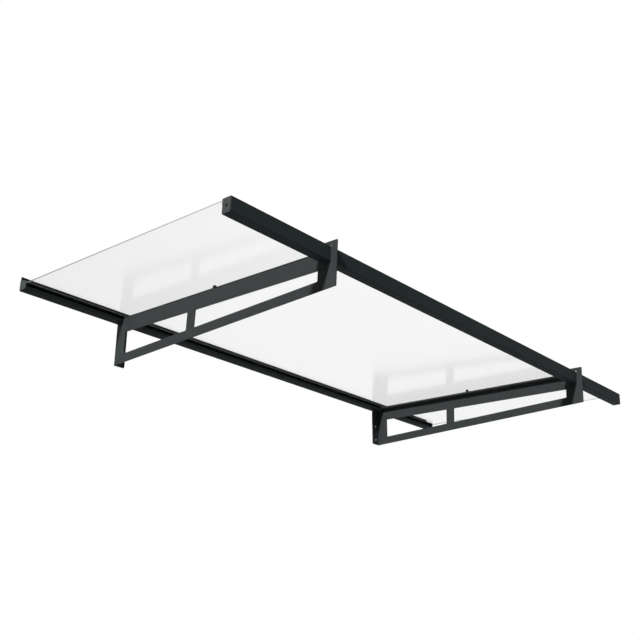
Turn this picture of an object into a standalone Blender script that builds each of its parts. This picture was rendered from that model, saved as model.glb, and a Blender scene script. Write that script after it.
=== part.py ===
"""Door canopy: a clear sheet on two folded steel arms, between a wall rail and a front rail.

Metres, +Z up. The wall is the plane y = 0 and the canopy stands out from it towards -Y, with +X to the
right of someone who faces the wall. The origin is on the wall, at the middle of the canopy's width, at
the height where the underside of the clear sheet would meet the wall.

Sections are drawn with two distances. On pieces that stand square to the wall they are (out, up): out
from the wall and up from the origin. On pieces that follow the roof's slope they are (along, above): along
the sheet's underside from the wall, and square above that underside.
"""
import math

import bmesh
import bpy
from mathutils import Matrix, Vector

# Overall
WIDTH = 2.050                       # across the end caps
ROOF_SLOPE = math.radians(3.0)      # down towards the front
CLEAR = 0.0003                      # gap between two pieces that touch
ARC_STEP = math.radians(15.0)       # turn of one facet on a rounded corner
ROUND_SIDES = 32                    # facets around holes and turned pieces
WELD = 0.000005                     # distance at which two points are one
CUT_LENGTH = 0.02                   # rods that cut holes, longer than any wall is thick
SHARP_ANGLE = math.radians(40.0)    # edges of round pieces that stay sharp

# Clear sheet
SHEET_THICKNESS = 0.004
SHEET_REAR = 0.0045                 # rear edge, along from the wall
SHEET_HOLE_RADIUS = 0.0045

# Wall rail, an extrusion
WALL_BACK = 0.0025                  # thickness of its plate on the wall
WALL_WEB = 0.0020                   # thickness of its other walls
WALL_DEPTH = 0.033
WALL_BELOW = 0.0178                 # its underside, below the origin
WALL_BOX_HEIGHT = 0.0082
WALL_SHELF_REACH = 0.022            # the shelf that carries the sheet, out from the wall
WALL_LOWER_SEAL = 0.0018            # room for the seal at the front edge of the shelf
WALL_UPPER_SEAL = 0.0016            # room for the seal under the lip of the jaw
WALL_LIP_HEIGHT = 0.0028
WALL_JAW_RISE = 0.0122              # how far the jaw climbs from its lip to the back plate
WALL_UPSTAND = 0.0092               # back plate above the jaw
WALL_EDGE_RADIUS = 0.0008
SEAL_NOSE = 0.0024                  # the upper seal in front of the lip
SEAL_NOSE_RADIUS = 0.0021           # its upper edge
SEAL_TOE_RADIUS = 0.0006            # its lower edge, on the sheet
UPPER_SEAL_BULB = 0.007             # width of the upper seal behind the lip
LOWER_SEAL_INSET = 0.004            # rear edge of the lower seal, out from the back plate
SEAL_FRONT_INSET = 0.001            # front edge of the lower seal, behind the edge of the shelf

# Front rail, an extrusion
FRONT_REACH = 0.9097                # its front face, along from the wall
FRONT_DEPTH = 0.0297
FRONT_HEIGHT = 0.0417
FRONT_WEB = 0.0020
FRONT_LIP_THICKNESS = 0.0023        # above the sheet
FRONT_LIP_REACH = 0.0045            # how far the two lips stand out behind the box
FRONT_CHANNEL_DEPTH = 0.019         # from the edge of the lips to the end of the sheet's channel
FRONT_SEAL_ROOM = 0.0041            # from the sheet's underside to the lower lip
FRONT_EDGE_RADIUS = 0.0016
SHEET_FRONT_GAP = 0.0020            # room for the sheet to grow in the channel
SEAL_END_INSET = 0.0010             # seal behind the edge of the lips
SCREW_PORT_DROP = 0.0153            # centre of the screw port, below the sheet's underside
SCREW_PORT_RADIUS = 0.0038
SCREW_PORT_BORE = 0.0022
PORT_WEB = 0.0016
PORT_STEPS = 8                      # facets on each half of the port

# End caps
CAP_THICKNESS = 0.0020
CAP_PLUG_LENGTH = 0.012
CAP_INSET = 0.0006                  # caps stay this far inside the outline of their rail
FRONT_CAP_RADIUS = 0.0022
WALL_CAP_RADIUS = 0.0035
WALL_CAP_LAP = 0.0010               # how far a wall cap covers the end of the back plate
WALL_CAP_DROP = 0.0025              # its upper rear corner, below the top of the jaw
PLUG_CLEAR = 0.0004
PLUG_OVERLAP = 0.0005               # how far a plug starts inside its cap

# Arms, folded from one sheet each
ARM_FACE = 0.672                    # outer face of each arm, from the middle of the canopy
ARM_SHEET = 0.003
ARM_BEND = 0.004                    # outer radius of the folds
BEND_STEPS = 6
ARM_BOTTOM = 0.157                  # level lower edge, below the origin
ARM_NOSE = 0.0209                   # front edge, in front of the front rail
ARM_CORNER = 0.002
HOOK_TOP = 0.0215                   # top of the hook over the front rail, above the sheet's underside
HOOK_REAR_INSET = 0.0015            # rear end of the hook, in front of the edge of the rail's lips
UPPER_BAR = 0.0525                  # lower edge of the upper bar, below the sheet's underside
LOWER_BAR = 0.029                   # height of the lower bar
WALL_STILE = 0.048                  # wall to the first window
FIRST_WINDOW_END = 0.3497           # along from the wall
STRUT = 0.0348
WINDOW_TO_RAIL = 0.0135             # front end of the second window, behind the front rail's box
WINDOW_CORNER = 0.003
TOP_FLANGE = 0.020                  # width over the fold
TOP_FLANGE_GAP = 0.0075             # its front end, behind the edge of the front rail's lips
BEND_RELIEF = 0.0022
WALL_FLANGE = 0.040
FLANGE_CORNER = 0.005               # radius of the flanges' free corners
FLANGE_CORNER_STEPS = 5
WALL_HOLE_RADIUS = 0.0032
WALL_HOLE_IN = 0.0185               # from the arm's outer face
WALL_HOLE_UP = 0.0205               # the lower hole, above the arm's lower edge
WALL_HOLE_SPACING = 0.055
CORNER_HOLE_RADIUS = 0.0022         # relief holes at the front corners of the opening for the rail
CORNER_HOLE_BACK = 0.0012           # their centre, behind the rail's front face
CORNER_HOLE_OFF = 0.0021            # their centre, above or below the rail

# Pads and screws that hold the sheet on the arms
PAD_THICKNESS = 0.0030
PAD_EDGE = 0.0015                   # pad inside the edges of the flange
PAD_HOLE_RADIUS = 0.0040
SCREW_ALONG = 0.452
SCREW_IN = 0.010                    # from the arm's outer face
SCREW_RADIUS = 0.003
SCREW_TAIL = 0.0015                 # thread past the nut
HEAD_RADIUS = 0.0056
HEAD_HEIGHT = 0.0054
HEAD_RIM = 0.0020                   # straight rim under the dome
DOME_STEPS = 6
HEAD_SOCKET_FLATS = 0.004
HEAD_SOCKET_DEPTH = 0.0026
BORE_RADIUS = SCREW_RADIUS + CLEAR
SEAL_WASHER_RADIUS = 0.0066
SEAL_WASHER_HEIGHT = 0.0014
PLAIN_WASHER_RADIUS = 0.0055
PLAIN_WASHER_HEIGHT = 0.0012
NUT_FLATS = 0.010
NUT_HEIGHT = 0.005

# Countersunk screws in the front end caps
CAP_SCREW_HEAD = 0.0040
CAP_SCREW_SHANK = 0.0018
CAP_SCREW_LENGTH = 0.018
CAP_SCREW_SINK = 0.0002             # head below the face of the cap
CAP_SLOT_RADIUS = 0.0017
CAP_SLOT_DEPTH = 0.0010

# Colours
ANTHRACITE = (0.058, 0.070, 0.070)
ANTHRACITE_RAIL = (0.038, 0.044, 0.048)
CAP_GREY = (0.090, 0.106, 0.106)
BLACK_RUBBER = (0.012, 0.012, 0.013)
BLACK_SCREW = (0.015, 0.015, 0.016)
CLEAR_SHEET = (0.93, 0.95, 0.95)

# Places that follow from the sizes above
WALL_BOX_TOP = WALL_BOX_HEIGHT - WALL_BELOW
WALL_LIP_OUT = WALL_DEPTH - SEAL_NOSE - CLEAR
WALL_LIP_BACK = WALL_LIP_OUT - WALL_WEB
FRONT_BACK = FRONT_REACH - FRONT_DEPTH
FRONT_LIP_EDGE = FRONT_BACK - FRONT_LIP_REACH
FRONT_LIP_UNDER = SHEET_THICKNESS + CLEAR
FRONT_TOP = FRONT_LIP_UNDER + FRONT_LIP_THICKNESS
FRONT_BOTTOM = FRONT_TOP - FRONT_HEIGHT
FRONT_LOWER_LIP = -FRONT_SEAL_ROOM
FRONT_CHANNEL_END = FRONT_LIP_EDGE + FRONT_CHANNEL_DEPTH
SHEET_FRONT = FRONT_CHANNEL_END - SHEET_FRONT_GAP
ARM_FRONT = FRONT_REACH + ARM_NOSE
TOP_FLANGE_FRONT = FRONT_LIP_EDGE - TOP_FLANGE_GAP
SECOND_WINDOW_END = FRONT_BACK - WINDOW_TO_RAIL
WALL_HOLE_DROPS = (ARM_BOTTOM - WALL_HOLE_UP - WALL_HOLE_SPACING, ARM_BOTTOM - WALL_HOLE_UP)
RAIL_HALF = WIDTH / 2 - CAP_THICKNESS - CLEAR
ARM_TOP = -(PAD_THICKNESS + 2 * CLEAR)
FLANGE_UNDER = ARM_TOP - ARM_SHEET
SCREW_FACE = ARM_FACE - SCREW_IN
SECTION_TURN = (math.pi / 2, 0.0, -math.pi / 2)


def sheet_under(out):
    """Height of the sheet's underside at a distance out from the wall."""
    return -out * math.tan(ROOF_SLOPE)


def sheet_over(out):
    """Height of the sheet's top at a distance out from the wall."""
    return sheet_under(out) + SHEET_THICKNESS / math.cos(ROOF_SLOPE)


def square(along, above):
    """(out, up) of a point given along and above the slope."""
    out = along * math.cos(ROOF_SLOPE) + above * math.sin(ROOF_SLOPE)
    up = above * math.cos(ROOF_SLOPE) - along * math.sin(ROOF_SLOPE)
    return out, up


def out_at(along, up):
    """Distance out from the wall where the line square to the slope at along has the height up."""
    return (along + up * math.sin(ROOF_SLOPE)) / math.cos(ROOF_SLOPE)


def up_at(out, above):
    """Height where the line parallel to the slope at above is at the distance out."""
    return (above - out * math.sin(ROOF_SLOPE)) / math.cos(ROOF_SLOPE)


def make_collection(name):
    """A new collection of that name in the scene."""
    old = bpy.data.collections.get(name)
    if old:
        bpy.data.collections.remove(old)
    collection = bpy.data.collections.new(name)
    bpy.context.scene.collection.children.link(collection)
    return collection


def finish(obj, colour, roughness, metallic=0.0, transmission=0.0):
    """Gives the object a material of its own."""
    material = bpy.data.materials.new(obj.name + "_finish")
    material.use_nodes = True
    shader = material.node_tree.nodes["Principled BSDF"]
    shader.inputs["Base Color"].default_value = (*colour, 1.0)
    shader.inputs["Roughness"].default_value = roughness
    shader.inputs["Metallic"].default_value = metallic
    shader.inputs["Transmission Weight"].default_value = transmission
    material.diffuse_color = (*colour, 1.0)
    obj.data.materials.clear()
    obj.data.materials.append(material)
    return obj


def add_part(name, mesh, parent=None):
    """A new object in the canopy's collection."""
    obj = bpy.data.objects.new(name, mesh)
    PARTS.objects.link(obj)
    obj.parent = parent
    return obj


def rounded(corners):
    """The points of an outline whose corners (x, y, radius) are rounded with arcs."""
    points = []
    for i, (x, y, radius) in enumerate(corners):
        corner = Vector((x, y))
        if radius == 0:
            points.append((x, y))
            continue
        before = (Vector(corners[i - 1][:2]) - corner).normalized()
        after = (Vector(corners[(i + 1) % len(corners)][:2]) - corner).normalized()
        half = math.acos(max(-1.0, min(1.0, before.dot(after)))) / 2
        centre = corner + (before + after).normalized() * (radius / math.sin(half))
        start = corner + before * (radius / math.tan(half)) - centre
        end = corner + after * (radius / math.tan(half)) - centre
        first = math.atan2(start.y, start.x)
        sweep = (math.atan2(end.y, end.x) - first + math.pi) % (2 * math.pi) - math.pi
        steps = max(1, math.ceil(abs(sweep) / ARC_STEP))
        for k in range(steps + 1):
            angle = first + sweep * k / steps
            points.append((centre.x + radius * math.cos(angle), centre.y + radius * math.sin(angle)))
    return points


def circle(x, y, radius):
    """The points of a round hole in an outline."""
    turns = [2 * math.pi * k / ROUND_SIDES for k in range(ROUND_SIDES)]
    return [(x + radius * math.cos(t), y + radius * math.sin(t)) for t in turns]


def outline_mesh(name, loops, thickness):
    """The mesh of a flat outline with holes: a closed plate, or one open face if it has no thickness."""
    curve = bpy.data.curves.new(name, "CURVE")
    curve.dimensions = "2D"
    curve.fill_mode = "BOTH"
    curve.extrude = thickness / 2
    for loop in loops:
        spline = curve.splines.new("POLY")
        spline.points.add(len(loop) - 1)
        for point, (x, y) in zip(spline.points, loop):
            point.co = (x, y, 0.0, 1.0)
        spline.use_cyclic_u = True
    guide = bpy.data.objects.new(name + "_outline", curve)
    GUIDES.objects.link(guide)
    bpy.context.view_layer.update()
    view = bpy.context.evaluated_depsgraph_get()
    mesh = bpy.data.meshes.new_from_object(guide.evaluated_get(view))
    mesh.name = name
    bpy.data.objects.remove(guide, do_unlink=True)
    bpy.data.curves.remove(curve)
    bm = bmesh.new()
    bm.from_mesh(mesh)
    bmesh.ops.remove_doubles(bm, verts=bm.verts, dist=WELD)
    if thickness:
        bmesh.ops.recalc_face_normals(bm, faces=bm.faces)
    bm.to_mesh(mesh)
    bm.free()
    return mesh


def shade_round(obj):
    """Applies the modifiers of a round piece and shades it smooth between its sharp edges."""
    bpy.context.view_layer.update()
    view = bpy.context.evaluated_depsgraph_get()
    mesh = bpy.data.meshes.new_from_object(obj.evaluated_get(view))
    profile = obj.data
    obj.modifiers.clear()
    obj.data = mesh
    bpy.data.meshes.remove(profile)
    mesh.name = obj.name
    mesh.shade_smooth()
    mesh.set_sharp_from_angle(angle=SHARP_ANGLE)
    return obj


def add_section(name, loops, length, middle=0.0, parent=None):
    """A piece with a constant section, drawn in its two distances, that runs along X."""
    obj = add_part(name, outline_mesh(name, loops, length), parent)
    obj.rotation_euler = SECTION_TURN
    obj.location = (middle, 0.0, 0.0)
    return obj


def box_mesh(name, size):
    """A box of that size around its centre."""
    mesh = bpy.data.meshes.new(name)
    bm = bmesh.new()
    bmesh.ops.create_cube(bm, size=1.0, matrix=Matrix.Diagonal((*size, 1.0)))
    bm.to_mesh(mesh)
    bm.free()
    return mesh


def turned(name, profile, parent=None, closed=False):
    """A turned piece: the profile (radius, height), listed from the top down, turned around Z."""
    mesh = bpy.data.meshes.new(name)
    bm = bmesh.new()
    points = [bm.verts.new((radius, 0.0, height)) for radius, height in profile]
    for first, second in zip(points, points[1:]):
        bm.edges.new((first, second))
    if closed:
        bm.edges.new((points[-1], points[0]))
    bm.to_mesh(mesh)
    bm.free()
    obj = add_part(name, mesh, parent)
    screw = obj.modifiers.new("turn", "SCREW")
    screw.axis = "Z"
    screw.steps = ROUND_SIDES
    screw.render_steps = ROUND_SIDES
    screw.use_merge_vertices = True
    screw.merge_threshold = WELD
    screw.use_smooth_shade = False
    return obj


def add_cutter(name, rods, parent=None, sides=ROUND_SIDES, length=CUT_LENGTH):
    """One hidden cutter made of rods, each given as (centre, axis, radius)."""
    mesh = bpy.data.meshes.new(name)
    bm = bmesh.new()
    for centre, axis, radius in rods:
        turn = Vector((0.0, 0.0, 1.0)).rotation_difference(Vector(axis)).to_matrix().to_4x4()
        bmesh.ops.create_cone(bm, cap_ends=True, segments=sides, radius1=radius, radius2=radius,
                              depth=length, matrix=Matrix.Translation(centre) @ turn)
    bm.to_mesh(mesh)
    bm.free()
    cutter = bpy.data.objects.new(name, mesh)
    GUIDES.objects.link(cutter)
    cutter.parent = parent
    cutter.hide_render = True
    cutter.display_type = "WIRE"
    return cutter


def boolean(obj, other, operation):
    """Cuts or joins the object with another by a modifier."""
    modifier = obj.modifiers.new(operation.lower(), "BOOLEAN")
    modifier.operation = operation
    modifier.solver = "EXACT"
    modifier.object = other
    return modifier


def wall_rail_heights():
    """Heights on the wall rail's section that follow from the slope of the sheet."""
    shelf_top = sheet_under(WALL_SHELF_REACH) - WALL_LOWER_SEAL
    lip_under = sheet_over(WALL_LIP_BACK) + WALL_UPPER_SEAL
    lip_top = lip_under + WALL_LIP_HEIGHT
    jaw_slope = WALL_JAW_RISE / (WALL_LIP_OUT - WALL_BACK)
    jaw_drop = WALL_WEB * math.hypot(1.0, jaw_slope)
    return shelf_top, lip_under, lip_top, jaw_slope, jaw_drop


def jaw_over(out):
    """Height of the top of the wall rail's jaw at a distance out from the wall."""
    lip_top, jaw_slope = wall_rail_heights()[2:4]
    return lip_top + jaw_slope * (WALL_LIP_OUT - out)


def jaw_under(out):
    """Height of the underside of the wall rail's jaw at a distance out from the wall."""
    return jaw_over(out) - wall_rail_heights()[4]


def make_wall_rail():
    """Wall rail: back plate, hollow box, shelf and jaw in one section."""
    shelf_top, lip_under, lip_top = wall_rail_heights()[:3]
    jaw_top = lip_top + WALL_JAW_RISE
    radius = WALL_EDGE_RADIUS
    section = rounded([
        (0.0, -WALL_BELOW, 0.0),
        (WALL_DEPTH, -WALL_BELOW, radius),
        (WALL_DEPTH, WALL_BOX_TOP, radius),
        (WALL_BACK, WALL_BOX_TOP, 0.0),
        (WALL_BACK, shelf_top - WALL_WEB, 0.0),
        (WALL_SHELF_REACH, shelf_top - WALL_WEB, 0.0),
        (WALL_SHELF_REACH, shelf_top, 0.0),
        (WALL_BACK, shelf_top, 0.0),
        (WALL_BACK, jaw_under(WALL_BACK), 0.0),
        (WALL_LIP_BACK, jaw_under(WALL_LIP_BACK), 0.0),
        (WALL_LIP_BACK, lip_under, 0.0),
        (WALL_LIP_OUT, lip_under, 0.0),
        (WALL_LIP_OUT, lip_top, 0.0),
        (WALL_BACK, jaw_top, 0.0),
        (WALL_BACK, jaw_top + WALL_UPSTAND, radius),
        (0.0, jaw_top + WALL_UPSTAND, radius),
    ])
    rail = add_section("wall_rail", [section, wall_chamber(0.0)], 2 * RAIL_HALF)
    return finish(rail, ANTHRACITE_RAIL, 0.42, 0.2)


def wall_chamber(inset):
    """The hollow of the wall rail's box, smaller by the inset on every side."""
    near = WALL_BACK + inset
    far = WALL_DEPTH - WALL_WEB - inset
    low = WALL_WEB - WALL_BELOW + inset
    high = WALL_BOX_TOP - WALL_WEB - inset
    return [(near, low), (far, low), (far, high), (near, high)]


def front_chambers(inset):
    """The three hollows of the front rail: above and below its web, and the bore of its screw port."""
    middle = FRONT_BACK + FRONT_DEPTH / 2
    near = FRONT_BACK + FRONT_WEB + inset
    far = FRONT_REACH - FRONT_WEB - inset
    low = FRONT_BOTTOM + FRONT_WEB + inset
    high = FRONT_LIP_UNDER - inset
    web = PORT_WEB / 2 + inset
    round_out = SCREW_PORT_RADIUS + inset
    side = math.asin(web / round_out)
    arc = [side + (math.pi - 2 * side) * k / PORT_STEPS for k in range(PORT_STEPS + 1)]
    over = [(middle + round_out * math.cos(t), -SCREW_PORT_DROP + round_out * math.sin(t)) for t in arc]
    under = [(x, -2 * SCREW_PORT_DROP - y) for x, y in over]
    floor = FRONT_LOWER_LIP - FRONT_WEB - inset
    step = FRONT_CHANNEL_END + FRONT_WEB + inset
    upper = over + [(near, -SCREW_PORT_DROP + web), (near, floor), (step, floor), (step, high), (far, high),
                    (far, -SCREW_PORT_DROP + web)]
    lower = under + [(near, -SCREW_PORT_DROP - web), (near, low), (far, low), (far, -SCREW_PORT_DROP - web)]
    return upper, lower, circle(middle, -SCREW_PORT_DROP, SCREW_PORT_BORE)


def make_front_rail(roof):
    """Front rail: a hollow box with a channel behind its top edge that takes the sheet."""
    radius = FRONT_EDGE_RADIUS
    section = rounded([
        (FRONT_LIP_EDGE, FRONT_LOWER_LIP - FRONT_WEB, 0.0),
        (FRONT_BACK, FRONT_LOWER_LIP - FRONT_WEB, 0.0),
        (FRONT_BACK, FRONT_BOTTOM, radius),
        (FRONT_REACH, FRONT_BOTTOM, radius),
        (FRONT_REACH, FRONT_TOP, radius),
        (FRONT_LIP_EDGE, FRONT_TOP, radius),
        (FRONT_LIP_EDGE, FRONT_LIP_UNDER, 0.0),
        (FRONT_CHANNEL_END, FRONT_LIP_UNDER, 0.0),
        (FRONT_CHANNEL_END, FRONT_LOWER_LIP, 0.0),
        (FRONT_LIP_EDGE, FRONT_LOWER_LIP, 0.0),
    ])
    rail = add_section("front_rail", [section, *front_chambers(0.0)], 2 * RAIL_HALF, parent=roof)
    return finish(rail, ANTHRACITE_RAIL, 0.42, 0.2)


def make_sheet(roof):
    """The clear sheet, with a hole over each arm for its screw."""
    length = SHEET_FRONT - SHEET_REAR
    mesh = box_mesh("glazing_sheet", (2 * RAIL_HALF, length, SHEET_THICKNESS))
    sheet = add_part("glazing_sheet", mesh, roof)
    sheet.location = (0.0, -(SHEET_REAR + length / 2), SHEET_THICKNESS / 2)
    rods = [((side * SCREW_FACE, -SCREW_ALONG, SHEET_THICKNESS / 2), (0, 0, 1), SHEET_HOLE_RADIUS)
            for side in (-1, 1)]
    boolean(sheet, add_cutter("sheet_holes", rods, roof), "DIFFERENCE")
    return finish(sheet, CLEAR_SHEET, 0.05, 0.0, 1.0)


def make_seals(roof):
    """The three rubber seals along the sheet."""
    shelf_top, lip_under, lip_top = wall_rail_heights()[:3]
    near = WALL_BACK + LOWER_SEAL_INSET
    far = WALL_SHELF_REACH - SEAL_FRONT_INSET
    lower = [(near, shelf_top + CLEAR), (far, shelf_top + CLEAR),
             (far, sheet_under(far) - CLEAR), (near, sheet_under(near) - CLEAR)]
    face = WALL_LIP_OUT + CLEAR
    behind = WALL_LIP_BACK - CLEAR
    rear = behind - UPPER_SEAL_BULB
    upper = rounded([
        (WALL_DEPTH, sheet_over(WALL_DEPTH) + CLEAR, SEAL_TOE_RADIUS),
        (WALL_DEPTH, lip_top, SEAL_NOSE_RADIUS),
        (face, lip_top, 0.0),
        (face, lip_under - CLEAR, 0.0),
        (behind, lip_under - CLEAR, 0.0),
        (behind, jaw_under(behind) - CLEAR, 0.0),
        (rear, jaw_under(rear) - 2 * CLEAR, 0.0),
        (rear, sheet_over(rear) + CLEAR, 0.0),
    ])
    edge = FRONT_LIP_EDGE + SEAL_END_INSET
    front = [(edge, FRONT_LOWER_LIP + CLEAR), (SHEET_FRONT, FRONT_LOWER_LIP + CLEAR),
             (SHEET_FRONT, -CLEAR), (edge, -CLEAR)]
    seals = [add_section("wall_seal_lower", [lower], 2 * RAIL_HALF),
             add_section("wall_seal_upper", [upper], 2 * RAIL_HALF),
             add_section("front_seal", [front], 2 * RAIL_HALF, parent=roof)]
    for seal in seals:
        finish(seal, BLACK_RUBBER, 0.7)
    return seals


def make_cap(name, side, plate, plug, parent=None):
    """An end cap: a thin plate on the rail's end, with a plug that fits in the rail's hollow."""
    cap = add_section(name, [plate], CAP_THICKNESS, side * (WIDTH / 2 - CAP_THICKNESS / 2), parent)
    length = CAP_PLUG_LENGTH + PLUG_OVERLAP
    inner_face = WIDTH / 2 - CAP_THICKNESS
    mesh = outline_mesh(name + "_plug", [plug], length)
    tenon = bpy.data.objects.new(name + "_plug", mesh)
    GUIDES.objects.link(tenon)
    tenon.parent = parent
    tenon.rotation_euler = SECTION_TURN
    tenon.location = (side * (inner_face + PLUG_OVERLAP - length / 2), 0.0, 0.0)
    tenon.hide_render = True
    tenon.display_type = "WIRE"
    boolean(cap, tenon, "UNION")
    return finish(cap, CAP_GREY, 0.5)


def make_wall_caps():
    """End caps of the wall rail."""
    near = WALL_BACK - WALL_CAP_LAP
    far = WALL_DEPTH - CAP_INSET
    radius = WALL_CAP_RADIUS
    plate = rounded([(near, CAP_INSET - WALL_BELOW, radius), (far, CAP_INSET - WALL_BELOW, radius),
                     (far, jaw_over(WALL_LIP_OUT) - CAP_INSET, radius),
                     (near, jaw_over(near) - WALL_CAP_DROP, radius)])
    return [make_cap("wall_cap_" + word, side, plate, wall_chamber(PLUG_CLEAR))
            for word, side in (("left", -1), ("right", 1))]


def make_front_caps(roof):
    """End caps of the front rail, each with a countersunk screw into the rail's screw port."""
    middle = FRONT_BACK + FRONT_DEPTH / 2
    near = FRONT_BACK + CAP_INSET
    far = FRONT_REACH - CAP_INSET
    radius = FRONT_CAP_RADIUS
    plate = rounded([(near, FRONT_BOTTOM + CAP_INSET, radius), (far, FRONT_BOTTOM + CAP_INSET, radius),
                     (far, FRONT_TOP - CAP_INSET, radius), (near, FRONT_TOP - CAP_INSET, radius)])
    plug = front_chambers(PLUG_CLEAR)[1]
    made = []
    for word, side in (("left", -1), ("right", 1)):
        cap = make_cap("front_cap_" + word, side, plate, plug, roof)
        place = Vector((side * WIDTH / 2, -middle, -SCREW_PORT_DROP))
        sink = cone_cutter("front_cap_sink_" + word, side, place, roof)
        boolean(cap, sink, "DIFFERENCE")
        made.append(cap)
        made.append(make_cap_screw("front_cap_screw_" + word, side, place, roof))
    return made


def cone_cutter(name, side, place, roof):
    """Hidden cutter of a countersunk hole through an end cap."""
    wide = CAP_SCREW_HEAD + 2 * CLEAR
    narrow = CAP_SCREW_SHANK + CLEAR
    depth = wide - narrow
    cutter = add_cutter(name, [((0.0, 0.0, 0.0), (0, 0, 1), narrow)], roof)
    bm = bmesh.new()
    bm.from_mesh(cutter.data)
    bmesh.ops.create_cone(bm, cap_ends=True, segments=ROUND_SIDES, radius1=narrow - CLEAR,
                          radius2=wide + CLEAR, depth=depth + 2 * CLEAR,
                          matrix=Matrix.Translation((0.0, 0.0, -depth / 2)))
    bm.to_mesh(cutter.data)
    bm.free()
    cutter.location = place
    cutter.rotation_euler = (0.0, side * math.pi / 2, 0.0)
    return cutter


def make_cap_screw(name, side, place, roof):
    """Countersunk screw of an end cap, with a recess in its head."""
    head_top = -CAP_SCREW_SINK
    neck = head_top - (CAP_SCREW_HEAD - CAP_SCREW_SHANK)
    profile = [(0.0, head_top - CAP_SLOT_DEPTH), (CAP_SLOT_RADIUS, head_top - CAP_SLOT_DEPTH),
               (CAP_SLOT_RADIUS, head_top), (CAP_SCREW_HEAD, head_top), (CAP_SCREW_SHANK, neck),
               (CAP_SCREW_SHANK, -CAP_SCREW_LENGTH), (0.0, -CAP_SCREW_LENGTH - CAP_SCREW_SHANK)]
    screw = shade_round(turned(name, profile, roof))
    screw.location = place
    screw.rotation_euler = (0.0, side * math.pi / 2, 0.0)
    return finish(screw, BLACK_SCREW, 0.4, 0.6)


def arm_outline():
    """The flat part of an arm's outer face, out and up from the origin, with its two windows."""
    cut_front = FRONT_REACH + CLEAR
    cut_top = FRONT_TOP + CLEAR
    cut_bottom = FRONT_BOTTOM - CLEAR
    cut_rear = FRONT_BACK - CLEAR
    lip_rear = FRONT_LIP_EDGE - CLEAR
    lip_low = FRONT_LOWER_LIP - FRONT_WEB - CLEAR
    fold = ARM_TOP - ARM_BEND
    notch = WALL_DEPTH + CLEAR
    seat = -(WALL_BELOW + CLEAR)
    bottom = -ARM_BOTTOM
    relief = TOP_FLANGE_FRONT + BEND_RELIEF
    edge = rounded([
        (ARM_BEND, bottom, 0.0),
        (out_at(ARM_FRONT, bottom), bottom, ARM_CORNER),
        (*square(ARM_FRONT, HOOK_TOP), ARM_CORNER),
        (*square(FRONT_LIP_EDGE + HOOK_REAR_INSET, HOOK_TOP), ARM_CORNER),
        (*square(FRONT_LIP_EDGE + HOOK_REAR_INSET, cut_top), 0.0),
        (*square(cut_front, cut_top), 0.0),
        (*square(cut_front, cut_bottom), 0.0),
        (*square(cut_rear, cut_bottom), 0.0),
        (*square(cut_rear, lip_low), 0.0),
        (*square(lip_rear, lip_low), 0.0),
        (*square(lip_rear, ARM_TOP), 0.0),
        (*square(relief, ARM_TOP), 0.0),
        (*square(relief, fold - BEND_RELIEF), 0.0),
        (*square(TOP_FLANGE_FRONT, fold - BEND_RELIEF), 0.0),
        (*square(TOP_FLANGE_FRONT, fold), 0.0),
        (notch, up_at(notch, fold), 0.0),
        (notch, seat, 0.0),
        (ARM_BEND, seat, 0.0),
    ])
    return [edge, first_window(), second_window()]


def first_window():
    """The short window beside the wall."""
    sill = LOWER_BAR - ARM_BOTTOM
    radius = WINDOW_CORNER
    return rounded([(WALL_STILE, up_at(WALL_STILE, -UPPER_BAR), radius), (WALL_STILE, sill, radius),
                    (out_at(FIRST_WINDOW_END, sill), sill, radius),
                    (*square(FIRST_WINDOW_END, -UPPER_BAR), radius)])


def second_window():
    """The long window in front of the strut."""
    sill = LOWER_BAR - ARM_BOTTOM
    radius = WINDOW_CORNER
    start = FIRST_WINDOW_END + STRUT
    return rounded([(*square(start, -UPPER_BAR), radius), (out_at(start, sill), sill, radius),
                    (out_at(SECOND_WINDOW_END, sill), sill, radius),
                    (*square(SECOND_WINDOW_END, -UPPER_BAR), radius)])


def fold_edge(bm, ends, centre, axis, angle, reach):
    """Folds a flange up from the straight edge between two points: an arc, then a flat of that reach.

    Returns the flat's two free corners.
    """
    picked = [min(bm.verts, key=lambda vert: (vert.co - end).length) for end in ends]
    edge = bm.edges.get(picked)
    turn = bmesh.ops.spin(bm, geom=[edge, *picked], cent=centre, axis=axis, angle=angle, steps=BEND_STEPS,
                          use_merge=False, use_duplicate=False)
    last = [item for item in turn["geom_last"] if isinstance(item, bmesh.types.BMEdge)]
    flat = bmesh.ops.extrude_edge_only(bm, edges=last)
    moved = [item for item in flat["geom"] if isinstance(item, bmesh.types.BMVert)]
    bmesh.ops.translate(bm, verts=moved, vec=reach)
    return moved


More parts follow.
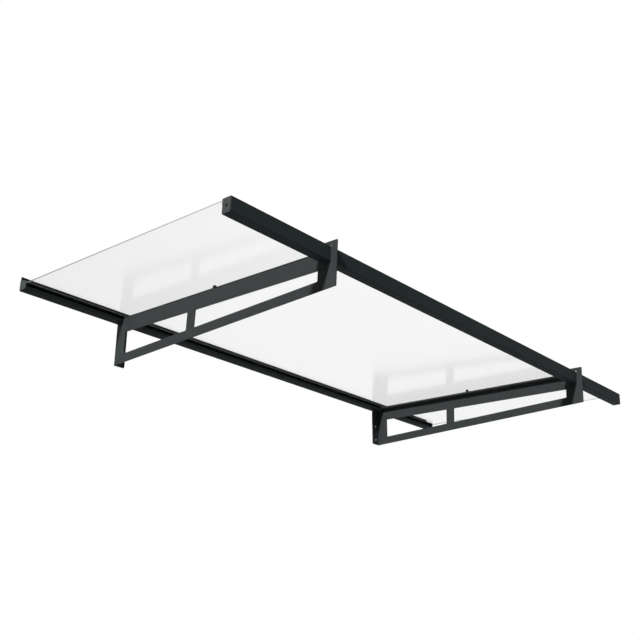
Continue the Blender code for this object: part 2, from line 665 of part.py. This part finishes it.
def make_arm(name, side):
    """One arm: side plate, top flange under the sheet and wall flange, folded from one steel sheet."""
    mesh = outline_mesh(name, arm_outline(), 0.0)
    inward = side                   # the section's third axis points to -X, so inward is - on the left
    fold = ARM_TOP - ARM_BEND
    notch = WALL_DEPTH + CLEAR
    bm = bmesh.new()
    bm.from_mesh(mesh)
    slope_line = Vector((math.cos(ROOF_SLOPE), -math.sin(ROOF_SLOPE), 0.0))
    top_ends = [Vector((*square(TOP_FLANGE_FRONT, fold), 0.0)), Vector((notch, up_at(notch, fold), 0.0))]
    top_centre = top_ends[0] + Vector((0.0, 0.0, inward * ARM_BEND))
    corners = fold_edge(bm, top_ends, top_centre, slope_line, inward * math.pi / 2,
                        Vector((0.0, 0.0, inward * (TOP_FLANGE - ARM_BEND))))
    wall_ends = [Vector((ARM_BEND, -ARM_BOTTOM, 0.0)), Vector((ARM_BEND, -(WALL_BELOW + CLEAR), 0.0))]
    wall_centre = wall_ends[0] + Vector((0.0, 0.0, inward * ARM_BEND))
    corners += fold_edge(bm, wall_ends, wall_centre, Vector((0.0, 1.0, 0.0)), inward * math.pi / 2,
                         Vector((0.0, 0.0, inward * (WALL_FLANGE - ARM_BEND))))
    bmesh.ops.bevel(bm, geom=corners, offset=FLANGE_CORNER, offset_type="OFFSET", affect="VERTICES",
                    segments=FLANGE_CORNER_STEPS, profile=0.5)
    bmesh.ops.recalc_face_normals(bm, faces=bm.faces)
    plate = max(bm.faces, key=lambda face: face.calc_area())
    if plate.normal.z * inward > 0:
        bmesh.ops.reverse_faces(bm, faces=bm.faces)
    bm.to_mesh(mesh)
    bm.free()
    arm = add_part(name, mesh)
    arm.rotation_euler = SECTION_TURN
    arm.location = (side * ARM_FACE, 0.0, 0.0)
    skin = arm.modifiers.new("sheet", "SOLIDIFY")
    skin.thickness = ARM_SHEET
    skin.offset = -1.0
    skin.use_even_offset = True
    boolean(arm, arm_cutter(name + "_holes", side), "DIFFERENCE")
    return finish(arm, ANTHRACITE, 0.45, 0.1)


def arm_cutter(name, side):
    """Hidden cutter for the holes of one arm: to the wall, for the sheet's screw, and corner reliefs."""
    flange = side * (ARM_FACE - WALL_HOLE_IN)
    rods = [((flange, 0.0, -drop), (0, 1, 0), WALL_HOLE_RADIUS) for drop in WALL_HOLE_DROPS]
    out, up = square(SCREW_ALONG, FLANGE_UNDER)
    normal = (0.0, -math.sin(ROOF_SLOPE), math.cos(ROOF_SLOPE))
    rods.append(((side * SCREW_FACE, -out, up), normal, BORE_RADIUS))
    for above in (FRONT_TOP + CORNER_HOLE_OFF, FRONT_BOTTOM - CORNER_HOLE_OFF):
        out, up = square(FRONT_REACH - CORNER_HOLE_BACK, above)
        rods.append(((side * ARM_FACE, -out, up), (1, 0, 0), CORNER_HOLE_RADIUS))
    return add_cutter(name, rods)


def make_pad(name, side, roof):
    """Rubber strip between an arm's top flange and the sheet."""
    rear = (WALL_DEPTH + CLEAR) / math.cos(ROOF_SLOPE) + PAD_EDGE
    length = TOP_FLANGE_FRONT - PAD_EDGE - rear
    width = TOP_FLANGE - 2 * PAD_EDGE
    pad = add_part(name, box_mesh(name, (width, length, PAD_THICKNESS)), roof)
    pad.location = (side * (ARM_FACE - TOP_FLANGE / 2), -(rear + length / 2), -CLEAR - PAD_THICKNESS / 2)
    rod = ((side * SCREW_FACE, -SCREW_ALONG, 0.0), (0, 0, 1), PAD_HOLE_RADIUS)
    boolean(pad, add_cutter(name + "_hole", [rod], roof), "DIFFERENCE")
    return finish(pad, BLACK_RUBBER, 0.7)


def make_washer(name, outer, bottom, height, side, roof):
    """A washer around the sheet's screw."""
    top = bottom + height
    profile = [(BORE_RADIUS, top), (outer, top), (outer, bottom), (BORE_RADIUS, bottom)]
    washer = shade_round(turned(name, profile, roof, closed=True))
    washer.location = (side * SCREW_FACE, -SCREW_ALONG, 0.0)
    return washer


def make_nut(name, place, roof):
    """A hexagon nut around its place."""
    corner = NUT_FLATS / math.sqrt(3.0)
    mesh = bpy.data.meshes.new(name)
    bm = bmesh.new()
    bmesh.ops.create_cone(bm, cap_ends=True, segments=6, radius1=corner, radius2=corner, depth=NUT_HEIGHT)
    bm.to_mesh(mesh)
    bm.free()
    nut = add_part(name, mesh, roof)
    nut.location = place
    boolean(nut, add_cutter(name + "_bore", [(place, (0, 0, 1), BORE_RADIUS)], roof), "DIFFERENCE")
    return nut


def make_sheet_screw(word, side, roof):
    """Dome-head screw, sealing washer, plain washer and nut that hold the sheet on one arm."""
    seat = SHEET_THICKNESS + CLEAR
    head = seat + SEAL_WASHER_HEIGHT + CLEAR
    washer_bottom = FLANGE_UNDER - CLEAR - PLAIN_WASHER_HEIGHT
    nut_top = washer_bottom - CLEAR
    tip = nut_top - NUT_HEIGHT - SCREW_TAIL
    place = (side * SCREW_FACE, -SCREW_ALONG)
    turns = [math.pi / 2 * k / DOME_STEPS for k in range(DOME_STEPS + 1)]
    dome = [(HEAD_RADIUS * math.sin(t), head + HEAD_RIM + (HEAD_HEIGHT - HEAD_RIM) * math.cos(t))
            for t in turns]
    profile = dome + [(HEAD_RADIUS, head), (SCREW_RADIUS, head), (SCREW_RADIUS, tip + SCREW_TAIL / 2),
                      (SCREW_RADIUS - SCREW_TAIL / 2, tip), (0.0, tip)]
    screw = turned("sheet_screw_" + word, profile, roof)
    screw.location = (*place, 0.0)
    rod = ((*place, head + HEAD_HEIGHT), (0, 0, 1), HEAD_SOCKET_FLATS / math.sqrt(3.0))
    socket = add_cutter("sheet_screw_socket_" + word, [rod], roof, 6, 2 * HEAD_SOCKET_DEPTH)
    boolean(screw, socket, "DIFFERENCE")
    finish(shade_round(screw), BLACK_SCREW, 0.4, 0.6)
    sealing = make_washer("sealing_washer_" + word, SEAL_WASHER_RADIUS, seat, SEAL_WASHER_HEIGHT, side, roof)
    finish(sealing, BLACK_RUBBER, 0.7)
    plain = make_washer("flange_washer_" + word, PLAIN_WASHER_RADIUS, washer_bottom, PLAIN_WASHER_HEIGHT,
                        side, roof)
    finish(plain, BLACK_SCREW, 0.4, 0.6)
    nut = make_nut("sheet_nut_" + word, (*place, nut_top - NUT_HEIGHT / 2), roof)
    finish(nut, BLACK_SCREW, 0.4, 0.6)


for old in list(bpy.data.objects):
    bpy.data.objects.remove(old, do_unlink=True)
PARTS = make_collection("door_canopy")
GUIDES = make_collection("cutters")

ROOF = bpy.data.objects.new("roof_slope", None)
PARTS.objects.link(ROOF)
ROOF.rotation_euler = (ROOF_SLOPE, 0.0, 0.0)

make_wall_rail()
make_front_rail(ROOF)
make_sheet(ROOF)
make_seals(ROOF)
make_wall_caps()
make_front_caps(ROOF)
for WORD, SIDE in (("left", -1), ("right", 1)):
    make_arm("arm_" + WORD, SIDE)
    make_pad("arm_pad_" + WORD, SIDE, ROOF)
    make_sheet_screw(WORD, SIDE, ROOF)
bpy.context.view_layer.update()
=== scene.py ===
"""Looks of the door canopy: finishes, fasteners with real threads, studio light and camera.

Metres, in the part's own frame: the wall is y = 0, the canopy stands out towards -Y, +Z is up.
"""
import math

import bpy
from mathutils import Matrix, Vector


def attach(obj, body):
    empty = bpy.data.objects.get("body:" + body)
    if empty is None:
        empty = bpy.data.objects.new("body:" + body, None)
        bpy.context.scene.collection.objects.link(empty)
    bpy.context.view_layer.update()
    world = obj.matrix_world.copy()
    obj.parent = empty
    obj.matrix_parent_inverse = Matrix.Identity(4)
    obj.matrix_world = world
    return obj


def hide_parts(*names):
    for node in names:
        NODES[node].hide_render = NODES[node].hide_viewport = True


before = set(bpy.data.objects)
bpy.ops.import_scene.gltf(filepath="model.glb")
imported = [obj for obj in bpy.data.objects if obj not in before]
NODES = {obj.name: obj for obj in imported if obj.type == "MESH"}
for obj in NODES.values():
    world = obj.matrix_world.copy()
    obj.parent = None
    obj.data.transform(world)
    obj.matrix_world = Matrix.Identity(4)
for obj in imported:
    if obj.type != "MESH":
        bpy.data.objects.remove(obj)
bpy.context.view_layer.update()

SCENE = bpy.context.scene

# Camera, from a perspective fit to the photograph
CAMERA_PLACE = (-2.29283, -2.31313, -1.11933)
CAMERA_YAW = 48.33073               # degrees from +Y towards +X
CAMERA_PITCH = 22.11769             # degrees above the horizon
CAMERA_LENS = 51.98384              # mm
CAMERA_SENSOR = 36.0                # mm

# Studio
FLOOR_LEVEL = -2.35                 # the ground under a door canopy
FLOOR_HALF = 30.0
FLOOR_SHADE = 0.96
FLOOR_BOUNCE = 0.25                 # the same floor, in the light it sends up to the part
SUN_TRAVEL = (1.25, 0.34, -1.0)     # direction of the key light
SUN_STRENGTH = 4.0
SUN_ANGLE = math.radians(6.0)
AMBIENT = 0.10
BACKDROP_FADE = (0.40, 0.70)        # X of a direction, where the white behind the sheet rises from
BACKDROP_LEAST = 0.90               # this level to full white

# Colours, linear, and how much the finishes mirror
ARM_COAT = (0.044, 0.050, 0.0505)
ARM_GLOSS = 0.05
RAIL_GLOSS = 0.012
FRONT_COAT = (0.040, 0.050, 0.052)
# the wall rail's coat is the rail coat made darker: painted shade of the rail under the sheet
WALL_COAT_SHADED = (0.024, 0.031, 0.032)
CAP_PLASTIC = (0.042, 0.049, 0.049)
RUBBER_BLACK = (0.010, 0.010, 0.011)
# grey rubber of the upper seal, lightened as a painted highlight of its lit strip
RUBBER_GREY_AND_HIGHLIGHT = (0.110, 0.113, 0.113)
OXIDE_BLACK = (0.007, 0.007, 0.0075)
OXIDE_WORN = 2.6                    # times brighter where it is worn
SHEET_TINT = (0.935, 0.938, 0.939)
SHEET_GLOSS = 1.19                  # refraction index of the faint outer gloss
SHEET_HAZE = 0.16                   # roughness of that gloss
SHEET_IOR = 1.03                    # low, for reflections as faint as the photograph's
SHEET_PASSES = (0.93, 0.93, 0.93)   # of the lamps' light, through each of its two faces
SHEET_EDGE_RISE = 0.7               # faces whose normal rises less than this are edges
SHEET_EDGE = ((-0.030, 0.03), (-0.085, 0.30), (-0.890, 0.50))   # grey along Y, rising towards the front; darker by the wall as painted shade of the rail the edge sits in

# Fasteners, in the roof's frame: along the slope from the wall, and square to the sheet's underside
ROOF_SLOPE = math.radians(3.0)
SCREW_FACE = 0.662                  # sheet screws, from the middle of the canopy
SCREW_ALONG = 0.452
HEAD_SEAT = 0.0060                  # underside of the screw's head
HEAD_RADIUS = 0.0056
HEAD_RIM = 0.0020
HEAD_TOP = 0.0114
HEAD_FLAT = 0.0030                  # radius of the flat around the hexagon socket
SOCKET_RADIUS = 0.0023              # from its centre to a corner
SOCKET_FLAT = 0.96                  # share of that radius where its floor is one face
SOCKET_FLOOR = 0.0088
SHANK_RADIUS = 0.0030
THREAD_TOP = -0.0070
THREAD_TIP = -0.0149
THREAD_PITCH = 0.0010
THREAD_DEPTH = 0.00054
NUT_TOP = -0.0084
NUT_BOTTOM = -0.0134
NUT_BORE = 0.00306
NUT_CORNER = 0.005773               # from its centre to a corner
NUT_FACE = 0.0047                   # radius of its round faces
NUT_CHAMFER = math.tan(math.radians(30.0))
CAP_SCREW_OUT = 1.025               # face of the front caps, from the middle
CAP_SCREW_ALONG = 0.89485
CAP_SCREW_DROP = 0.0153
CAP_HEAD_RADIUS = 0.0040
CAP_HEAD_FLAT = 0.96                # share of that radius inside its broken edge
CAP_HEAD_TOP = -0.0002
CAP_HEAD_EDGE = -0.00032
CAP_NECK = -0.0024
CAP_SHANK_RADIUS = 0.0018
CAP_CORE_RADIUS = 0.0013
CAP_TIP = -0.0186
CAP_PITCH = 0.0013
CROSS_SMALL = 0.0007                # recess between its four slots, and at their ends
CROSS_LARGE = 0.0022
CROSS_FLOOR = -0.0014
CROSS_STEPS = (0.5, 0.7, 0.6)       # shares of the small radius, the large radius and the depth
COLUMNS = 60                        # around a turned piece
DOME_ROWS = 8
SHARP_ANGLE = math.radians(35.0)
THREAD_ROWS = 8                     # per turn of a thread


class Finish:
    """A node material built step by step around one Principled shader."""

    def __init__(self, name):
        self.material = bpy.data.materials.new(name)
        self.material.use_nodes = True
        self.tree = self.material.node_tree
        self.shader = self.tree.nodes["Principled BSDF"]
        self.output = self.tree.nodes["Material Output"]
        self.place = self.node("ShaderNodeTexCoord").outputs["Object"]

    def node(self, kind, **settings):
        """A new node with some settings."""
        made = self.tree.nodes.new(kind)
        for key, value in settings.items():
            setattr(made, key, value)
        return made

    def link(self, source, target):
        """Joins an output to an input."""
        self.tree.links.new(source, target)

    def put(self, **values):
        """Sets sockets of the shader; a name's underscores stand for spaces."""
        for key, value in values.items():
            self.shader.inputs[key.replace("_", " ")].default_value = value

    def stretched(self, factors):
        """The place on the object, with each axis multiplied."""
        mapping = self.node("ShaderNodeMapping")
        mapping.inputs["Scale"].default_value = factors
        self.link(self.place, mapping.inputs["Vector"])
        return mapping.outputs["Vector"]

    def noise(self, size, detail=3.0, rough=0.55, stretch=None):
        """Noise with features of about that size in metres."""
        made = self.node("ShaderNodeTexNoise")
        made.inputs["Scale"].default_value = 1.0 / size
        made.inputs["Detail"].default_value = detail
        made.inputs["Roughness"].default_value = rough
        self.link(self.stretched(stretch) if stretch else self.place, made.inputs["Vector"])
        return made.outputs["Fac"]

    def span(self, source, low, high, start=0.3, end=0.7):
        """Maps a noise to a range of values."""
        made = self.node("ShaderNodeMapRange")
        made.inputs["From Min"].default_value = start
        made.inputs["From Max"].default_value = end
        made.inputs["To Min"].default_value = low
        made.inputs["To Max"].default_value = high
        self.link(source, made.inputs["Value"])
        return made.outputs["Result"]

    def math(self, operation, first, second):
        """A sum, product or other operation on two values or outputs."""
        made = self.node("ShaderNodeMath", operation=operation)
        for socket, value in zip(made.inputs, (first, second)):
            if isinstance(value, (int, float)):
                socket.default_value = value
            else:
                self.link(value, socket)
        return made.outputs[0]

    def mix(self, factor, first, second):
        """A colour between two colours or outputs."""
        made = self.node("ShaderNodeMix", data_type="RGBA")
        for socket, value in zip((made.inputs["Factor"], made.inputs[6], made.inputs[7]),
                                 (factor, first, second)):
            if isinstance(value, (int, float)):
                socket.default_value = value
            elif isinstance(value, tuple):
                socket.default_value = (*value, 1.0)
            else:
                self.link(value, socket)
        return made.outputs[2]

    def colour(self, base, source, depth):
        """A base colour that varies with a noise, darker and lighter by the depth."""
        dark = tuple(c * (1.0 - depth) for c in base)
        light = tuple(c * (1.0 + depth) for c in base)
        mixed = self.mix(self.span(source, 0.0, 1.0), dark, light)
        self.link(mixed, self.shader.inputs["Base Color"])

    def bump(self, height, distance):
        """A bump of that height in metres, on top of the ones already there."""
        made = self.node("ShaderNodeBump")
        made.inputs["Distance"].default_value = distance
        self.link(height, made.inputs["Height"])
        before = self.shader.inputs["Normal"].links
        if before:
            self.link(before[0].from_socket, made.inputs["Normal"])
        self.link(made.outputs["Normal"], self.shader.inputs["Normal"])


def powder_coat(name, colour, gloss, lengthways):
    """Powder coat with orange peel, fine speckle and, on an extrusion, faint lines along it."""
    made = Finish(name)
    made.put(Specular_IOR_Level=gloss)
    speckle = made.noise(0.0006, detail=2.0)
    cloud = made.noise(0.05, detail=4.0)
    made.colour(colour, made.math("ADD", made.math("MULTIPLY", speckle, 0.6),
                                  made.math("MULTIPLY", cloud, 0.4)), 0.10)
    made.link(made.span(cloud, 0.44, 0.56), made.shader.inputs["Roughness"])
    made.bump(made.noise(0.0022, detail=1.5), 0.00004)
    made.bump(speckle, 0.000012)
    if lengthways:
        made.bump(made.noise(0.0012, detail=2.0, stretch=(0.004, 1.0, 1.0)), 0.00002)
    return made.material


def moulded_plastic(name, colour):
    """Matt moulded plastic with a fine spark-eroded grain."""
    made = Finish(name)
    made.put(Specular_IOR_Level=0.2)
    grain = made.noise(0.0005, detail=3.0)
    made.colour(colour, made.noise(0.012), 0.08)
    made.link(made.span(grain, 0.46, 0.62), made.shader.inputs["Roughness"])
    made.bump(grain, 0.00003)
    return made.material


def seal_rubber(name, colour):
    """Extruded rubber."""
    made = Finish(name)
    made.put(Specular_IOR_Level=0.15)
    made.colour(colour, made.noise(0.004), 0.25)
    made.link(made.span(made.noise(0.002), 0.6, 0.8), made.shader.inputs["Roughness"])
    made.bump(made.noise(0.0008, stretch=(0.05, 1.0, 1.0)), 0.00002)
    return made.material


def black_oxide(name, colour):
    """Blackened steel, dull, with paler wear."""
    made = Finish(name)
    made.put(Metallic=0.25, Specular_IOR_Level=0.12)
    wear = made.noise(0.0015, detail=5.0, rough=0.65)
    worn = tuple(c * OXIDE_WORN for c in colour)
    made.link(made.mix(made.span(wear, 0.0, 0.5, 0.5, 0.8), colour, worn),
              made.shader.inputs["Base Color"])
    made.link(made.span(wear, 0.48, 0.62), made.shader.inputs["Roughness"])
    made.bump(made.noise(0.0004), 0.00001)
    return made.material


def clear_sheet(name):
    """Clear plastic sheet with a faint haze and ripple; lamp light passes to what is under it."""
    made = Finish(name)
    made.put(Transmission_Weight=1.0, IOR=SHEET_IOR, Base_Color=(*SHEET_TINT, 1.0), Coat_Weight=1.0,
             Coat_IOR=SHEET_GLOSS, Coat_Roughness=SHEET_HAZE)
    made.link(made.span(made.noise(0.09, detail=5.0), 0.02, 0.05), made.shader.inputs["Roughness"])
    made.bump(made.noise(0.22, detail=2.0, stretch=(1.0, 0.4, 1.0)), 0.0004)
    path = made.node("ShaderNodeLightPath")
    clear = made.node("ShaderNodeBsdfTransparent")
    clear.inputs["Color"].default_value = (*SHEET_PASSES, 1.0)
    switch = made.node("ShaderNodeMixShader")
    made.link(made.math("MAXIMUM", path.outputs["Is Shadow Ray"], path.outputs["Is Diffuse Ray"]),
              switch.inputs["Fac"])
    made.link(made.shader.outputs["BSDF"], switch.inputs[1])
    made.link(clear.outputs["BSDF"], switch.inputs[2])
    made.link(switch.outputs["Shader"], made.output.inputs["Surface"])
    return made.material


def sawn_edge(name, greys_and_shade):
    """Frosted saw cut of a plastic sheet; its grey is darker near the wall as painted shade of the
    rail it sits in, and rises towards the front.
    """
    made = Finish(name)
    made.put(Specular_IOR_Level=0.3)
    cuts = made.noise(0.0007, detail=3.0)
    split = made.node("ShaderNodeSeparateXYZ")
    made.link(made.place, split.inputs["Vector"])
    # the first grey is painted shade, where the edge sits inside the wall rail
    (start, dark), (middle, medium), (end, light) = greys_and_shade
    grey = made.math("ADD", made.span(split.outputs["Y"], dark, medium, start, middle),
                     made.span(split.outputs["Y"], 0.0, light - medium, middle, end))
    made.link(made.math("MULTIPLY", grey, made.span(cuts, 0.94, 1.06)),
              made.shader.inputs["Base Color"])
    made.link(made.span(cuts, 0.45, 0.65), made.shader.inputs["Roughness"])
    made.bump(cuts, 0.00003)
    return made.material


def dress_edges(material, name, steepest):
    """Gives another material to the faces of a CAD node that stand more upright than that."""
    mesh = NODES[name].data
    mesh.materials.append(material)
    for face in mesh.polygons:
        if abs(face.normal.z) < steepest:
            face.material_index = len(mesh.materials) - 1


def dress(material, *names):
    """Gives CAD nodes a material."""
    for name in names:
        slots = NODES[name].material_slots
        if not slots:
            NODES[name].data.materials.append(material)
        for slot in slots:
            slot.material = material


def ring(radius, height):
    """A row of a turned piece: a circle."""
    return [(radius, height)] * COLUMNS


def hexagon(corner, height_at):
    """A row of a turned piece: a hexagon, whose height may depend on the radius."""
    half = math.pi / 6
    row = []
    for k in range(COLUMNS):
        turn = 2 * math.pi * k / COLUMNS
        off = (turn + half) % (2 * half) - half
        radius = corner * math.cos(half) / math.cos(half - abs(off))
        row.append((radius, height_at(radius)))
    return row


def cross_ring(small, large, height):
    """A row of a turned piece: a recess with four rounded slots."""
    row = []
    for k in range(COLUMNS):
        lobe = max(0.0, math.cos(8 * math.pi * k / COLUMNS)) ** 3
        row.append((small + (large - small) * lobe, height))
    return row


def thread_rows(radius, depth, pitch, top, bottom, taper):
    """Rows of a screw thread from the top down, that runs out in a taper at the bottom."""
    count = round((top - bottom) / pitch * THREAD_ROWS)
    rows = []
    for i in range(count + 1):
        height = top + (bottom - top) * i / count
        out = min(1.0, (top - height) / pitch)
        shrink = max(0.0, bottom + taper - height)
        row = []
        for k in range(COLUMNS):
            phase = (height / pitch + k / COLUMNS) % 1.0
            row.append((radius - shrink - depth * out * abs(2 * phase - 1), height))
        rows.append(row)
    return rows


def turned_piece(name, rows, closed, place, turn):
    """A piece made of rows of (radius, height) around an axis, that replaces a CAD node."""
    verts = []
    for row in rows:
        for k, (radius, height) in enumerate(row):
            angle = 2 * math.pi * k / COLUMNS
            verts.append((radius * math.cos(angle), radius * math.sin(angle), height))
    faces = []
    pairs = list(zip(range(len(rows)), range(1, len(rows))))
    if closed:
        pairs.append((len(rows) - 1, 0))
    for upper, lower in pairs:
        for k in range(COLUMNS):
            after = (k + 1) % COLUMNS
            faces.append((upper * COLUMNS + k, lower * COLUMNS + k, lower * COLUMNS + after,
                          upper * COLUMNS + after))
    if not closed:
        faces.append(tuple(range(COLUMNS)))
        faces.append(tuple(reversed(range(len(verts) - COLUMNS, len(verts)))))
    mesh = bpy.data.meshes.new(name + "_detail")
    mesh.from_pydata(verts, [], faces)
    mesh.shade_smooth()
    mesh.set_sharp_from_angle(angle=SHARP_ANGLE)
    mesh.materials.append(BLACK_STEEL)
    piece = bpy.data.objects.new(name + "_detail", mesh)
    piece.matrix_world = Matrix.Rotation(ROOF_SLOPE, 4, "X") @ Matrix.Translation(place) @ turn
    SCENE.collection.objects.link(piece)
    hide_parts(name)
    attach(piece, "root")


def make_sheet_screw(name, side):
    """Dome-head screw with a hexagon socket and a real thread."""
    rows = [hexagon(SOCKET_RADIUS * SOCKET_FLAT, lambda radius: SOCKET_FLOOR),
            hexagon(SOCKET_RADIUS, lambda radius: SOCKET_FLOOR),
            hexagon(SOCKET_RADIUS, lambda radius: HEAD_TOP), ring(HEAD_FLAT, HEAD_TOP)]
    rise = HEAD_TOP - HEAD_SEAT - HEAD_RIM
    for k in range(1, DOME_ROWS + 1):
        turn = math.pi / 2 * k / DOME_ROWS
        rows.append(ring(HEAD_FLAT + (HEAD_RADIUS - HEAD_FLAT) * math.sin(turn),
                         HEAD_SEAT + HEAD_RIM + rise * math.cos(turn)))
    rows += [ring(HEAD_RADIUS, HEAD_SEAT), ring(SHANK_RADIUS, HEAD_SEAT)]
    rows += thread_rows(SHANK_RADIUS, THREAD_DEPTH, THREAD_PITCH, THREAD_TOP, THREAD_TIP,
                        THREAD_DEPTH)
    turned_piece(name, rows, False, (side * SCREW_FACE, -SCREW_ALONG, 0.0), Matrix())


def make_nut(name, side):
    """Hexagon nut with chamfered corners."""
    upper = hexagon(NUT_CORNER, lambda radius: NUT_TOP - (radius - NUT_FACE) * NUT_CHAMFER)
    lower = hexagon(NUT_CORNER, lambda radius: NUT_BOTTOM + (radius - NUT_FACE) * NUT_CHAMFER)
    rows = [ring(NUT_BORE, NUT_TOP), ring(NUT_FACE, NUT_TOP), upper, lower,
            ring(NUT_FACE, NUT_BOTTOM), ring(NUT_BORE, NUT_BOTTOM)]
    turned_piece(name, rows, True, (side * SCREW_FACE, -SCREW_ALONG, 0.0), Matrix())


def make_cap_screw(name, side):
    """Countersunk screw with a cross recess and a coarse thread."""
    middle, slots, depth = CROSS_STEPS
    rows = [cross_ring(CROSS_SMALL * middle, CROSS_SMALL, CROSS_FLOOR),
            cross_ring(CROSS_SMALL, CROSS_LARGE * slots, CROSS_FLOOR * depth),
            cross_ring(CROSS_SMALL, CROSS_LARGE, CAP_HEAD_TOP),
            ring(CAP_HEAD_RADIUS * CAP_HEAD_FLAT, CAP_HEAD_TOP),
            ring(CAP_HEAD_RADIUS, CAP_HEAD_EDGE)]
    rows += thread_rows(CAP_SHANK_RADIUS, CAP_SHANK_RADIUS - CAP_CORE_RADIUS, CAP_PITCH, CAP_NECK,
                        CAP_TIP, CAP_CORE_RADIUS)
    turned_piece(name, rows, False,
                 (side * CAP_SCREW_OUT, -CAP_SCREW_ALONG, -CAP_SCREW_DROP),
                 Matrix.Rotation(side * math.pi / 2, 4, "Y"))


def make_camera():
    """The camera at the photograph's angle."""
    data = bpy.data.cameras.new("camera")
    data.lens = CAMERA_LENS
    data.sensor_width = CAMERA_SENSOR
    data.clip_start = 0.05
    data.clip_end = 200.0
    camera = bpy.data.objects.new("camera", data)
    camera.location = CAMERA_PLACE
    camera.rotation_euler = (math.radians(90.0 + CAMERA_PITCH), 0.0, math.radians(-CAMERA_YAW))
    SCENE.collection.objects.link(camera)
    SCENE.camera = camera


def make_light():
    """One soft key light from the left, above and a little in front."""
    data = bpy.data.lights.new("key", "SUN")
    data.energy = SUN_STRENGTH
    data.angle = SUN_ANGLE
    key = bpy.data.objects.new("key", data)
    key.rotation_euler = Vector(SUN_TRAVEL).to_track_quat("-Z", "Y").to_euler()
    SCENE.collection.objects.link(key)


def make_world():
    """White behind the object and in its reflections, and soft grey for its light.

    Seen through the sheet, the white is a touch greyer at one side.
    """
    world = bpy.data.worlds.new("studio")
    world.use_nodes = True
    SCENE.world = world
    tree = world.node_tree
    background = tree.nodes["Background"]
    path = tree.nodes.new("ShaderNodeLightPath")
    seen = path.outputs["Is Camera Ray"]
    for name in ("Is Glossy Ray", "Is Transmission Ray"):
        either = tree.nodes.new("ShaderNodeMath")
        either.operation = "MAXIMUM"
        tree.links.new(seen, either.inputs[0])
        tree.links.new(path.outputs[name], either.inputs[1])
        seen = either.outputs[0]
    level = tree.nodes.new("ShaderNodeMapRange")
    level.inputs["To Min"].default_value = AMBIENT
    level.inputs["To Max"].default_value = 1.0
    tree.links.new(seen, level.inputs["Value"])
    place = tree.nodes.new("ShaderNodeTexCoord")
    split = tree.nodes.new("ShaderNodeSeparateXYZ")
    tree.links.new(place.outputs["Generated"], split.inputs["Vector"])
    fade = tree.nodes.new("ShaderNodeMapRange")
    fade.interpolation_type = "SMOOTHSTEP"
    fade.inputs["From Min"].default_value = BACKDROP_FADE[0]
    fade.inputs["From Max"].default_value = BACKDROP_FADE[1]
    fade.inputs["To Min"].default_value = BACKDROP_LEAST
    tree.links.new(split.outputs["X"], fade.inputs["Value"])
    through = tree.nodes.new("ShaderNodeMapRange")
    through.inputs["To Min"].default_value = 1.0
    tree.links.new(path.outputs["Is Transmission Ray"], through.inputs["Value"])
    tree.links.new(fade.outputs["Result"], through.inputs["To Max"])
    grey = tree.nodes.new("ShaderNodeCombineColor")
    for channel in ("Red", "Green", "Blue"):
        tree.links.new(through.outputs["Result"], grey.inputs[channel])
    tree.links.new(grey.outputs["Color"], background.inputs["Color"])
    tree.links.new(level.outputs["Result"], background.inputs["Strength"])


def make_floor():
    """A plain pale floor, open to the view from below, that sends up less light than it shows."""
    bpy.ops.mesh.primitive_plane_add(size=2 * FLOOR_HALF, location=(0.0, 0.0, FLOOR_LEVEL))
    floor = bpy.context.object
    floor.name = "floor"
    made = Finish("floor_paint")
    made.put(Roughness=0.9, Specular_IOR_Level=0.0)
    path = made.node("ShaderNodeLightPath")
    shade = made.span(path.outputs["Is Diffuse Ray"], FLOOR_SHADE, FLOOR_BOUNCE, 0.0, 1.0)
    mottle = made.span(made.noise(0.8), 0.99, 1.01)
    made.link(made.math("MULTIPLY", shade, mottle), made.shader.inputs["Base Color"])
    clear = made.node("ShaderNodeBsdfTransparent")
    switch = made.node("ShaderNodeMixShader")
    made.link(made.node("ShaderNodeNewGeometry").outputs["Backfacing"], switch.inputs["Fac"])
    made.link(made.shader.outputs["BSDF"], switch.inputs[1])
    made.link(clear.outputs["BSDF"], switch.inputs[2])
    made.link(switch.outputs["Shader"], made.output.inputs["Surface"])
    floor.data.materials.append(made.material)


make_camera()
make_light()
make_world()
make_floor()

dress(powder_coat("arm_coat", ARM_COAT, ARM_GLOSS, False), "arm_left", "arm_right")
dress(powder_coat("front_coat", FRONT_COAT, RAIL_GLOSS, True), "front_rail")
# darker coat on the wall rail: painted shade under the sheet
dress(powder_coat("wall_coat_shaded", WALL_COAT_SHADED, RAIL_GLOSS, True), "wall_rail")
dress(moulded_plastic("cap_plastic", CAP_PLASTIC), "wall_cap_left", "wall_cap_right",
      "front_cap_left", "front_cap_right")
dress(seal_rubber("rubber_black", RUBBER_BLACK), "wall_seal_lower", "front_seal", "arm_pad_left",
      "arm_pad_right", "sealing_washer_left", "sealing_washer_right")
# upper seal: grey rubber with a painted highlight in its colour
dress(seal_rubber("rubber_grey_and_highlight", RUBBER_GREY_AND_HIGHLIGHT), "wall_seal_upper")
BLACK_STEEL = black_oxide("oxide_black", OXIDE_BLACK)
dress(BLACK_STEEL, "flange_washer_left", "flange_washer_right")
dress(clear_sheet("clear_sheet"), "glazing_sheet")
# sheet edges: frosted grey, with painted shade by the wall
dress_edges(sawn_edge("sheet_edge", SHEET_EDGE), "glazing_sheet", SHEET_EDGE_RISE)

for SIDE, WORD in ((-1, "left"), (1, "right")):
    make_sheet_screw("sheet_screw_" + WORD, SIDE)
    make_nut("sheet_nut_" + WORD, SIDE)
    make_cap_screw("front_cap_screw_" + WORD, SIDE)

SCENE.view_settings.view_transform = "Standard"
